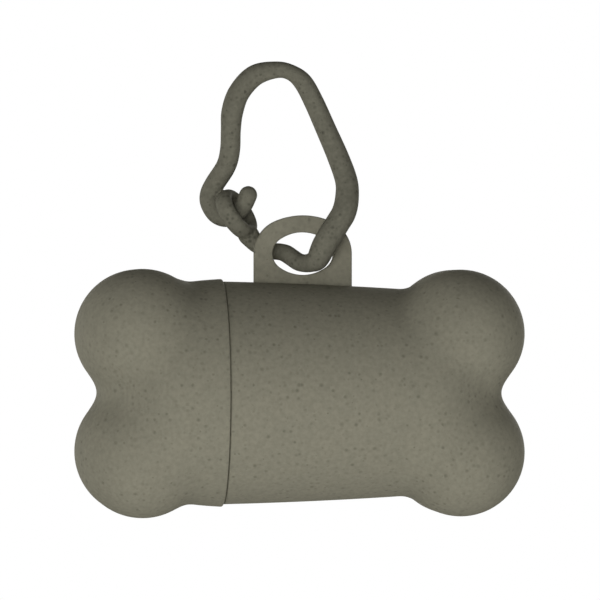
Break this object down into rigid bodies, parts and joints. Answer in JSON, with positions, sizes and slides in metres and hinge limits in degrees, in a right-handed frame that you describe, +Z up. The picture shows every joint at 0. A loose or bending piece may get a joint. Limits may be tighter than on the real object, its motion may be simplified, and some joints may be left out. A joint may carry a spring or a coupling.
{
  "type": "dog waste bag dispenser",
  "caption": "Bone-shaped dog waste bag dispenser in speckled grey-olive plastic: push-on end cap, slot at the back, bag roll inside, hanging tab and one-piece springy clip.",
  "frame": {"origin": "highest point inside the clip's loop, where the lead or ring carries the part", "axes": "+Z up, +X along the bone from the cap to the closed end of the body, +Y to the back, where the bags leave"},
  "size_m": [0.0792, 0.0458, 0.0808],
  "materials": {
    "shell_plastic": "matte grey-olive with fine dark specks",
    "clip_plastic": "matte grey-olive with fine dark specks",
    "bag_film": "thin soft film, slight sheen",
    "core_paper": "wound grey-brown board"
  },
  "bodies": {
    "clip": {"clip": "clip_plastic"},
    "dispenser": {"dispenser_body": "shell_plastic", "leading_bag": "bag_film"},
    "cap": {"end_cap": "shell_plastic"},
    "roll": {"bag_roll": "bag_film", "roll_core": "core_paper"}
  },
  "joints": [
    {"name": "body_swing", "type": "hinge", "parent": "clip", "child": "dispenser", "pos_m": [0.004, 0, -0.03115], "axis": [0, 1, 0], "range_deg": [-30, 30]},
    {"name": "cap_pull", "type": "slide", "parent": "dispenser", "child": "cap", "axis": [-1, 0, 0], "range_m": [0, 0.03]},
    {"name": "roll_turn", "type": "hinge", "parent": "dispenser", "child": "roll", "pos_m": [0.004, 0, -0.05905], "axis": [1, 0, 0], "continuous": true}
  ]
}
